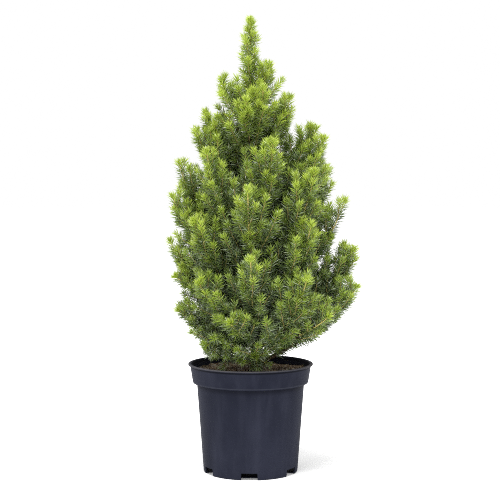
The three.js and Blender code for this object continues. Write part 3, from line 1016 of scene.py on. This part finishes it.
def compost_bed(rng, waves):
    """The compost's crumbly top, and its plain sides and foot down inside the pot."""
    rings = 60
    sides = 200
    share = (np.arange(rings) / (rings - 1))[:, None]
    angle = round_angles(sides)[None]
    radius = share * pot_inside(SOIL_TOP)
    x = radius * np.cos(angle)
    y = radius * np.sin(angle)
    z = compost_surface(x, y, waves) + rng.normal(0, COMPOST["grain"], x.shape) * (share > 0.1)
    levels = [np.stack([x, y, z], axis=-1)]
    shoulder = POT["shoulder_height"]
    for height in (SOIL_TOP - 4, shoulder + 5, shoulder - 1, 80, COMPOST["foot"]):
        r = pot_inside(height)
        levels.append(np.stack([r * np.cos(angle), r * np.sin(angle), np.full_like(angle, height)], axis=-1))
    vertices = np.concatenate(levels).reshape(-1, 3)
    centre = len(vertices)
    last = np.arange(centre - sides, centre)
    bottom = np.stack([last, np.full(sides, centre), np.roll(last, -1)], axis=1)
    quads = ring_quads(centre // sides, sides)
    faces = np.concatenate([quads[:, [0, 3, 2]], quads[:, [0, 2, 1]], bottom])
    return np.concatenate([vertices, [[0, 0, COMPOST["foot"]]]]), faces


def compost_chips(rng, waves):
    """Loose chips on the compost, each an uneven double pyramid turned at random."""
    count = COMPOST["chips"]
    radius = pot_inside(SOIL_TOP) * np.sqrt(rng.uniform(0.01, 0.97, count))
    angle = rng.uniform(0, 2 * math.pi, count)
    x = radius * np.cos(angle)
    y = radius * np.sin(angle)
    centres = np.stack([x, y, compost_surface(x, y, waves) + COMPOST["chip_rise"]], axis=-1)
    size = rng.uniform(0.5, 1.9, count) * rng.uniform(0.6, 1.4, count)
    shape = np.array([[1, 0, 0], [-1, 0, 0], [0, 0.6, 0], [0, -0.6, 0], [0, 0, 0.5], [0, 0, -0.5]])
    corners = shape[None] * rng.uniform(0.5, 1.3, (count, 6, 1)) * size[:, None, None]
    first = unit(rng.normal(size=(count, 3)))
    second = unit(np.cross(first, unit(rng.normal(size=(count, 3)))))
    turn = np.stack([first, second, np.cross(first, second)], axis=1)
    vertices = np.einsum("nvk,nkj->nvj", corners, turn) + centres[:, None]
    faces = np.array([[0, 2, 4], [2, 1, 4], [1, 3, 4], [3, 0, 4], [2, 0, 5], [1, 2, 5], [3, 1, 5], [0, 3, 5]])
    return vertices.reshape(-1, 3), copies(faces, count, len(shape))


def build_compost():
    rng = np.random.default_rng(SEEDS["compost"])
    waves = compost_waves(rng)
    crumbs = compost_paint()
    bed = add_piece("compost_bed", *compost_bed(rng, waves), crumbs, "compost", smooth=True)
    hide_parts("compost")
    add_piece("compost_chips", *compost_chips(rng, waves), crumbs, "compost")


# ---- Pieces: foliage ----

# Colours of needles, from the brightest growth to the dull inside, where they carry painted shade, each with
# its share of the plain ones.
NEEDLE_COLOURS = [
    {"name": "lime", "share": 0.06, "colour": rgb(176, 194, 76), "shade": rgb(156, 176, 58)},
    {"name": "fresh", "share": 0.13, "colour": rgb(144, 166, 60), "shade": rgb(124, 146, 50)},
    {"name": "leaf", "share": 0.27, "colour": rgb(118, 139, 59), "shade": rgb(99, 120, 50)},
    {"name": "deep", "share": 0.33, "colour": rgb(94, 113, 62), "shade": rgb(77, 94, 54)},
    {"name": "inner", "share": 0.21, "colour": rgb(73, 88, 55), "shade": rgb(54, 68, 41)},
]

# Pale silver needles, by chance among the dull share of all, more often at the top and in the skirt. They
# show the needles' pale side and are painted highlights too, and in the skirt painted light as well.
SILVER_NEEDLES = {"name": "silver", "colour": rgb(166, 178, 148), "shade": rgb(138, 152, 118)}
SILVER_CHANCE = {"all": 0.1, "top": 0.14, "skirt": 0.32}
DULL_SHARE = 0.83

TWIG_COLOURS = {
    "leading": (rgb(212, 199, 122), rgb(184, 166, 98)),
    "side": (rgb(178, 165, 98), rgb(136, 120, 72)),
    "young": (rgb(176, 174, 98), rgb(142, 138, 76)),
}

# Heights of a shoot's tip between which each of its traits goes from none to full.
TIP_HEIGHTS = {"deep": (260, 460), "high": (380, TOP), "low": (60, 320), "skirt": (195, 170)}

# Depths under the outline over which needles darken as painted shade and new growth dulls, for low tips and
# high ones.
DULL_DEPTH = {"low": 50, "high": 85}

# How much each trait of a shoot brightens its needles, and how unevenly bright needles are. The outer trait
# darkens needles deep in the crown as painted shade, and the skirt trait lightens the skirt as painted light.
BRIGHTER = {"outer": 0.25, "high": 0.28, "low": 0.25, "skirt": 0.12, "spray": 0.2}
UNEVEN = 0.09

# New growth: how far it shows from a shoot's tip, and what is left of it deep inside, low and in the skirt.
NEW_GROWTH = {"reach": 10, "inside": 0.25, "low": 0.35, "skirt": 0.4}


def outwardness(points):
    """How near points are to the crown's outline: 0 deep inside, 1 at the outline."""
    radius, reach = radius_and_reach(points)
    depth = lerp(DULL_DEPTH["low"], DULL_DEPTH["high"], ramp(points[:, 2], *TIP_HEIGHTS["deep"]))
    return np.clip(1 - (reach - radius) / depth, 0, 1)


def needle_layer(rng, controls, kind):
    """The needles of one kind of shoot: roots, directions, lengths, brightness and chance of silver."""
    tips = controls[:, 2]
    traits = {name: ramp(tips[:, 2], *TIP_HEIGHTS[name]) for name in ("high", "low", "skirt")}
    traits = {"outer": outwardness(tips), **traits, "spray": rng.uniform(0, 1, len(controls))}
    # Deep inside the crown needles get painted shade, in the skirt painted light.
    shade = sum(BRIGHTER[name] * trait for name, trait in traits.items())
    silver = SILVER_CHANCE["all"] + SILVER_CHANCE["top"] * traits["high"]
    silver += SILVER_CHANCE["skirt"] * traits["skirt"]
    fresh = lerp(NEW_GROWTH["inside"], 1, traits["outer"]) * lerp(NEW_GROWTH["low"], 1, traits["low"])
    fresh *= lerp(1, NEW_GROWTH["skirt"], traits["skirt"])
    fresh *= kind["new"]

    owner, roots, directions, sizes, to_tip = needles_on(rng, controls, kind)
    tones = shade[owner] + fresh[owner] * np.exp(-((to_tip / NEW_GROWTH["reach"]) ** 2))
    tones += rng.normal(0, UNEVEN, len(tones))
    return roots, directions, sizes, tones, silver[owner]


def dealt_by_colour(rng, tones, silver):
    """Which needles take each colour: the plain ones by their brightness, then the silver ones."""
    is_dull = tones < np.quantile(tones, DULL_SHARE)
    is_silver = is_dull & (rng.uniform(size=len(tones)) < silver)
    plain = np.flatnonzero(~is_silver)
    brightest_first = plain[np.argsort(-tones[plain])]
    shares = np.cumsum([look["share"] for look in NEEDLE_COLOURS[:-1]])
    ends = (shares * len(plain)).astype(int)
    return [*np.split(brightest_first, ends), np.flatnonzero(is_silver)]


def build_needles(rng, shoots):
    """Joined pieces of needles, each of one colour. The masses are hidden when the first piece is made."""
    layers = [needle_layer(rng, np.concatenate(shoots[name]), NEEDLING[name]) for name in NEEDLING]
    roots, directions, sizes, tones, silver = (np.concatenate(part) for part in zip(*layers))
    looks = [*NEEDLE_COLOURS, SILVER_NEEDLES]
    masses = [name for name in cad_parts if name.startswith("foliage_")]
    for look, picked in zip(looks, dealt_by_colour(rng, tones, silver)):
        material = needle_paint(f"needles_{look['name']}", look["colour"], look["shade"])
        for part, first in enumerate(range(0, len(picked), NEEDLES_A_PIECE)):
            chosen = picked[first : first + NEEDLES_A_PIECE]
            mesh = needle_mesh(rng, roots[chosen], directions[chosen], sizes[chosen])
            piece = add_piece(f"needles_{look['name']}_{part + 1}", *mesh, material, "foliage")
            if masses:
                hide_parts(*masses)
                masses = []


def build_twigs(name, controls):
    twig = TWIGS[name]
    paths = shoot_paths(controls, np.linspace(twig["start"], TWIG_END, twig["points"]))
    radii = np.tile(np.linspace(twig["foot"], twig["tip"], twig["points"]), (len(paths), 1))
    bark = bark_paint(f"twig_{name}", *TWIG_COLOURS[name], scale=400)
    add_piece(f"twigs_{name}", *tubes(paths, radii, 3), bark, "bark")


def build_foliage(plumes):
    rng = np.random.default_rng(SEEDS["foliage"])
    stems, sides, sprigs = zip(*(plume_growth(plume) for plume in [crown_leader(), *plumes]))
    sides = (*sides, trunk_growth(rng))
    build_needles(rng, {"leader": stems[:1], "stem": stems[1:], "side": sides, "sprig": sprigs})
    build_twigs("leading", np.concatenate(stems))
    build_twigs("side", np.concatenate(sides))
    build_twigs("young", np.concatenate(sprigs))


# ---- Stage ----

# Soft boxes, in metres and watts. They point at the middle of the plant.
LAMPS = [
    {"name": "left_box", "place": (-1.2, -1.1, 0.6), "width": 0.35, "height": 1.2, "power": 1.5},
    {"name": "top", "place": (-0.08, -0.8, 2.8), "width": 1, "height": 1, "power": 95},
]
LIT_POINT = (0, 0, 0.3)

# The camera: width of its sensor and length of its lens in millimetres, its place in metres, and its tilt.
CAMERA = {"sensor": 36, "lens": 95.4, "place": (-0.0008, -1.817, 0.407), "down": 3.2}
FLOOR_SIZE = 30


def build_floor():
    bpy.ops.mesh.primitive_plane_add(size=FLOOR_SIZE, location=(0, 0, 0))
    floor = bpy.context.object
    floor.name = "floor"
    floor.data.materials.append(floor_paint())


def build_light():
    world = bpy.data.worlds.new("studio")
    bpy.context.scene.world = world
    world.use_nodes = True
    background = world.node_tree.nodes["Background"]
    background.inputs["Color"].default_value = (1, 1, 1, 1)
    background.inputs["Strength"].default_value = 1
    for box in LAMPS:
        light = bpy.data.lights.new(box["name"], "AREA")
        light.shape = "RECTANGLE"
        light.energy = box["power"]
        light.size = box["width"]
        light.size_y = box["height"]
        lamp = bpy.data.objects.new(box["name"], light)
        lamp.location = box["place"]
        aim = np.array(LIT_POINT) - np.array(box["place"])
        tilt = math.acos(-aim[2] / np.linalg.norm(aim))
        lamp.rotation_euler = (tilt, 0, math.atan2(aim[1], aim[0]) - math.pi / 2)
        bpy.context.collection.objects.link(lamp)


def set_picture():
    """Plain colours, and needles kept crisp."""
    scene = bpy.context.scene
    scene.view_settings.view_transform = "Standard"
    scene.view_settings.look = "None"
    scene.cycles.use_denoising = False
    scene.cycles.filter_width = 1


def build_camera():
    camera = bpy.data.cameras.new("camera")
    camera.sensor_width = CAMERA["sensor"]
    camera.lens = CAMERA["lens"]
    camera.clip_start = 0.05
    eye = bpy.data.objects.new("camera", camera)
    eye.location = CAMERA["place"]
    eye.rotation_euler = (math.radians(90 - CAMERA["down"]), 0, 0)
    bpy.context.collection.objects.link(eye)
    bpy.context.scene.camera = eye


# ---- Assembly ----

build_floor()
build_light()
set_picture()
build_camera()

plumes = settled_plumes()
build_pot()
build_compost()
build_wood(plumes)
build_foliage(plumes)
